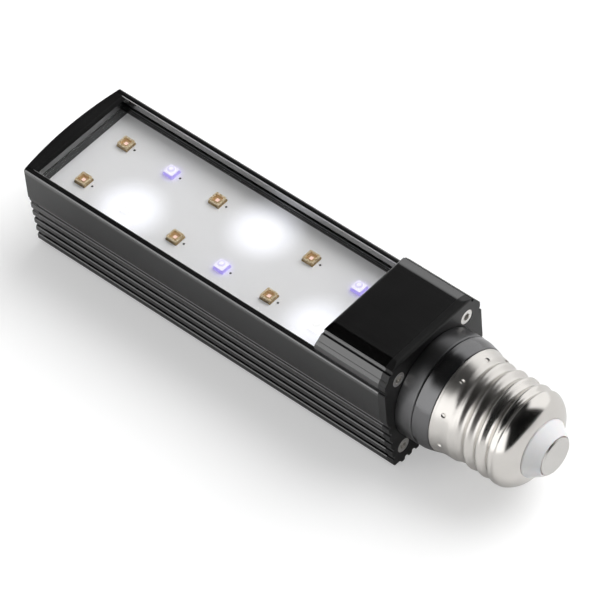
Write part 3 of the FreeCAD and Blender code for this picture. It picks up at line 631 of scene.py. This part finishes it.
def model_lens():
    """A low dome on the origin, its flat side down."""
    bpy.ops.object.select_all(action="DESELECT")
    bpy.ops.mesh.primitive_circle_add(vertices=lens_sides, radius=lens_radius, fill_type="NGON")
    lens = bpy.context.object
    bpy.ops.object.mode_set(mode="EDIT")
    bpy.ops.mesh.select_all(action="SELECT")
    share = 1.0
    for next_share, rise in lens_steps:
        bpy.ops.mesh.extrude_region_move(TRANSFORM_OT_translate={"value": (0, 0, rise * MM)})
        ratio = next_share / share
        bpy.ops.transform.resize(value=(ratio, ratio, 1), center_override=(0, 0, 0))
        share = next_share
    bpy.ops.mesh.poke()
    bpy.ops.mesh.select_all(action="SELECT")
    bpy.ops.mesh.normals_make_consistent(inside=False)
    bpy.ops.object.mode_set(mode="OBJECT")
    rounding = lens.modifiers.new("rounding", "SUBSURF")
    rounding.levels = rounding.render_levels = 2
    bpy.ops.object.modifier_apply(modifier=rounding.name)
    bpy.ops.object.shade_smooth()
    return lens


first_lens = model_lens()
print("lens faces", len(first_lens.data.polygons))

# %% [markdown]
# ## The lenses' light
#
# A lit lens is bright all over. On the violet ones a fainter ring shows near the
# foot, where the dome bends the light away, and the white ones are too bright for
# it. Real refraction would need far more samples for the same look, so the ring
# is drawn in the emission.

# %% Lit silicone
ring_start, ring_full = 0.45 * MM, 0.75 * MM
ring_fade, ring_end = 0.9 * MM, 1.1 * MM
silicone_scale = 1500.0


def silicone(name):
    """Clear silicone that gives its own light."""
    finish = Finish(name, roughness=0.12, emission_strength=1.0)
    cloud = finish.noise(silicone_scale, 2.0)
    finish.set("Base Color", finish.mix(cloud, grey(0.20), grey(0.26)))
    return finish


def foot_ring(finish):
    """1 on a soft ring near the dome's foot."""
    along = on_the_grid(finish)
    across = abs(finish.y) - source_row
    from_middle = (along * along + across * across).root()
    inner = from_middle.ease(ring_start, ring_full)
    return inner * (1.0 - from_middle.ease(ring_fade, ring_end))


violet_silicone = silicone("lit violet lens")
violet_light = violet_silicone.mix(foot_ring(violet_silicone),
                                   colour(0.92, 0.90, 1.0), colour(0.66, 0.61, 0.92))
violet_silicone.set("Emission Color", violet_light)
clear_silicone = silicone("lit clear lens")
clear_silicone.set("Emission Color", grey(1.0))
lens_finishes = {"violet": violet_silicone, "white": clear_silicone}
print("lens finishes", sorted(lens_finishes))

# %% [markdown]
# ## A lens on each package
#
# What repeats is modelled once and copied. Each copy has its own mesh and is
# moved in it, so that the object itself stays at the origin, as a CAD node does.
# Each copy rides on the lamp's body.

# %% Place the lenses
lens_slots = {"violet": "violet_lens", "white": "white_phosphor"}
lenses = []
for name in source_names:
    kind = name.split("_")[0]
    if kind not in lens_slots:
        continue
    lens = first_lens.copy()
    lens.data = first_lens.data.copy()
    lens.name = "lens_" + name
    bpy.context.scene.collection.objects.link(lens)
    package_top = corners(name)[1].z
    lens.location = (middle_of(name).x, middle_of(name).y, package_top)
    bpy.ops.object.select_all(action="DESELECT")
    lens.select_set(True)
    bpy.context.view_layer.objects.active = lens
    bpy.ops.object.transform_apply(location=True)
    lens.data.materials.append(lens_finishes[kind].material)
    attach(lens, "lamp_body")
    lenses.append(lens)
bpy.data.objects.remove(first_lens)
print("lenses", len(lenses))

# %% [markdown]
# ## Glass
#
# The window is clear and polished. Full refraction would darken the board and
# cost time, and the sheet is thin, so a low alpha lets the board show. What is
# left of the surface gives the faint reflection.

# %% Window glass
glass = Finish("clear window glass", roughness=0.03, alpha=0.08)
glass.set("Base Color", colour(0.05, 0.055, 0.055))
dress(["window_glass"], glass)

# %% [markdown]
# ## Pieces inside
#
# Nothing inside is seen in the photograph, but each piece still gets the finish
# of the real one, for whoever takes the lamp apart. These are simple: a cloud
# between two near colours, which also moves the roughness a little.

# %% Plain finish
plain_scale = 400.0
plain_roughness = 0.1


def plain(name, low, high, roughness):
    """Simple finish: a cloud between two colours."""
    finish = Finish(name)
    cloud = finish.noise(plain_scale)
    finish.set("Base Color", finish.mix(cloud, low, high))
    finish.set("Roughness", roughness + plain_roughness * cloud)
    return finish


print("clouds to the metre", plain_scale)

# %% Boards, pads and mouldings
dress(["thermal_pad"], plain("grey silicone", grey(0.30), grey(0.38), 0.7))
laminate = plain("green laminate", colour(0.02, 0.12, 0.05), colour(0.03, 0.17, 0.07), 0.35)
dress(["driver_board"], laminate)
paper = plain("insulating sheet", colour(0.55, 0.55, 0.48), colour(0.62, 0.62, 0.55), 0.4)
dress(["insulating_liner"], paper)
moulding = plain("green moulding", colour(0.02, 0.16, 0.05), colour(0.03, 0.22, 0.07), 0.4)
dress(["terminal_block"], moulding)

# %% Driver components
tape = plain("yellow tape", colour(0.55, 0.38, 0.03), colour(0.65, 0.47, 0.05), 0.45)
dress(["transformer"], tape)
sleeve = plain("black sleeve", grey(0.015), grey(0.03), 0.35)
dress(["input_capacitor", "output_capacitor", "filter_choke"], sleeve)
dress(["rectifier", "control_chip"], plain("moulded epoxy", grey(0.012), grey(0.02), 0.55))
lacquer = plain("blue lacquer", colour(0.03, 0.14, 0.32), colour(0.05, 0.19, 0.40), 0.3)
dress(["fuse_resistor"], lacquer)

# %% Wires
wire_tones = {
    "live_wire": ("brown insulation", colour(0.10, 0.035, 0.012), colour(0.14, 0.05, 0.02)),
    "neutral_wire": ("blue insulation", colour(0.01, 0.03, 0.25), colour(0.02, 0.05, 0.32)),
    "led_wire_1": ("red insulation", colour(0.35, 0.01, 0.01), colour(0.45, 0.02, 0.02)),
    "led_wire_2": ("black insulation", grey(0.01), grey(0.02)),
}
for wire, tones in wire_tones.items():
    dress([wire], plain(*tones, 0.45))

# %% [markdown]
# ## The table
#
# The lamp lies on its fins on a white table. Where the camera sees the table,
# some of its white is its own, so that it meets the white background and still
# keeps the lamp's soft shadow. For every other ray it is a plain pale table, so
# that added white lights nothing.

# %% Table
table_white = 0.80
table_own_white = 0.35
table_seen_share = 0.70
table_size = 6.0

bpy.ops.mesh.primitive_plane_add(size=table_size, location=(0, 0, cad_box[0][2]))
table = bpy.context.object
table.name = "table"
print("table at z", round(cad_box[0][2], 4))

# %% Table's surface
table_finish = Finish("white table", roughness=0.9, specular_ior_level=0.0)
table_finish.set("Base Color", grey(table_white))
plain_table = Flow(table_finish, table_finish.shader.outputs[0])
seen = table_finish.node("ShaderNodeBsdfDiffuse", {}, {"Color": grey(table_seen_share)})
own = table_finish.node("ShaderNodeEmission", {}, {"Color": grey(table_own_white)})
both = table_finish.node("ShaderNodeAddShader", {}, {0: seen, 1: own})
rays = table_finish.ray("Camera") + table_finish.ray("Transmission")
surface = table_finish.node("ShaderNodeMixShader", {}, {0: rays, 1: plain_table, 2: both})
output = table_finish.tree.nodes["Material Output"]
table_finish.tree.links.new(surface.socket, output.inputs["Surface"])
table.data.materials.append(table_finish.material)
print("table nodes", len(table_finish.tree.nodes))

# %% [markdown]
# ## The studio
#
# Bright metal shows the room it stands in, and black metal shows little else.
# The room could be built of lamps and boards, but soft-edged patches of the
# world give the same reflections with no noise. `screen` is a wide patch that
# stands on the horizon, and `lamp_head` is a round one. Each is told from the
# direction of a ray.

# %% Soft patches of the world
tiny = 0.0001  # straight up there is no level part, and a division by it would fail


def fading(toward, half_width, edge):
    """1 within a half width in degrees, easing to 0 over an edge."""
    outer, inner = math.radians(half_width + edge), math.radians(half_width)
    return toward.ease(math.cos(outer), math.cos(inner))


def lamp_head(sky, azimuth, elevation, half_width, edge):
    """Soft round patch of the world in one direction."""
    turn, rise = math.radians(azimuth), math.radians(elevation)
    level_x, level_y = math.sin(turn) * math.cos(rise), math.cos(turn) * math.cos(rise)
    toward = level_x * sky.x - level_y * sky.y + math.sin(rise) * sky.z
    return fading(toward, half_width, edge)


def screen(sky, azimuth, half_width, edge, top, top_edge):
    """Soft-edged patch round an azimuth, from below the horizon up to a height."""
    turn = math.radians(azimuth)
    level = (sky.x * sky.x + sky.y * sky.y).root() + tiny
    ahead = (sky.x * math.sin(turn) - sky.y * math.cos(turn)) / level
    low, high = math.sin(math.radians(top)), math.sin(math.radians(top + top_edge))
    return fading(ahead, half_width, edge) * (1.0 - sky.z.ease(low, high))


print("a patch 42 degrees wide each way ends at a cosine of", round(math.cos(math.radians(42)), 3))

# %% [markdown]
# ## What metal sees
#
# One large screen stands in front on the left, one behind and a faint one at
# the far end. The right and the ceiling stay dark, which draws the black bands
# on the cap and keeps the cover black.

# %% Screens in the metal
world = bpy.data.worlds.new("studio")
bpy.context.scene.world = world
world.use_nodes = True
sky = Recipe(world.node_tree, "Generated")
dark_room = 0.004
front = 1.5 * screen(sky, azimuth=-8, half_width=42, edge=9, top=40, top_edge=18)
back = 1.2 * screen(sky, azimuth=175, half_width=37, edge=9, top=46, top_edge=14)
far_side = 0.25 * screen(sky, azimuth=-90, half_width=30, edge=20, top=30, top_edge=25)
ceiling = 0.03 * lamp_head(sky, azimuth=0, elevation=90, half_width=12, edge=20)
in_metal = dark_room + front + back + far_side + ceiling
print("nodes for the screens", len(world.node_tree.nodes))

# %% [markdown]
# ## The light on matt surfaces
#
# Matt surfaces and the table get even light from all round, and a soft round
# light high up behind the object, which throws the shadow towards the viewer.
# The camera itself sees plain white. Cycles can aim rays at the bright parts of
# a world, but it doesn't ask what kind of ray each one is, and would mix these
# two kinds of light. That aiming is turned off.

# %% World
even_light = 0.50
overhead = 4.4 * lamp_head(sky, azimuth=156, elevation=50, half_width=15, edge=17)
on_matt = even_light + overhead
white = sky.ray("Camera") + sky.ray("Transmission")
glossy = sky.ray("Glossy")
strength = white + glossy * in_metal + (1.0 - white - glossy) * on_matt
backdrop = world.node_tree.nodes["Background"]
backdrop.inputs["Color"].default_value = grey(1.0)
world.node_tree.links.new(strength.socket, backdrop.inputs["Strength"])
world.cycles.sampling_method = "NONE"
print("world nodes", len(world.node_tree.nodes))

# %% [markdown]
# ## Colours as they are written
#
# The Standard view shows a colour as it was mixed. The other views bend the
# whites and blacks, and the white table would turn grey.

# %% View
bpy.context.scene.view_settings.view_transform = "Standard"
print("view", bpy.context.scene.view_settings.view_transform)

# %% [markdown]
# ## Finish
#
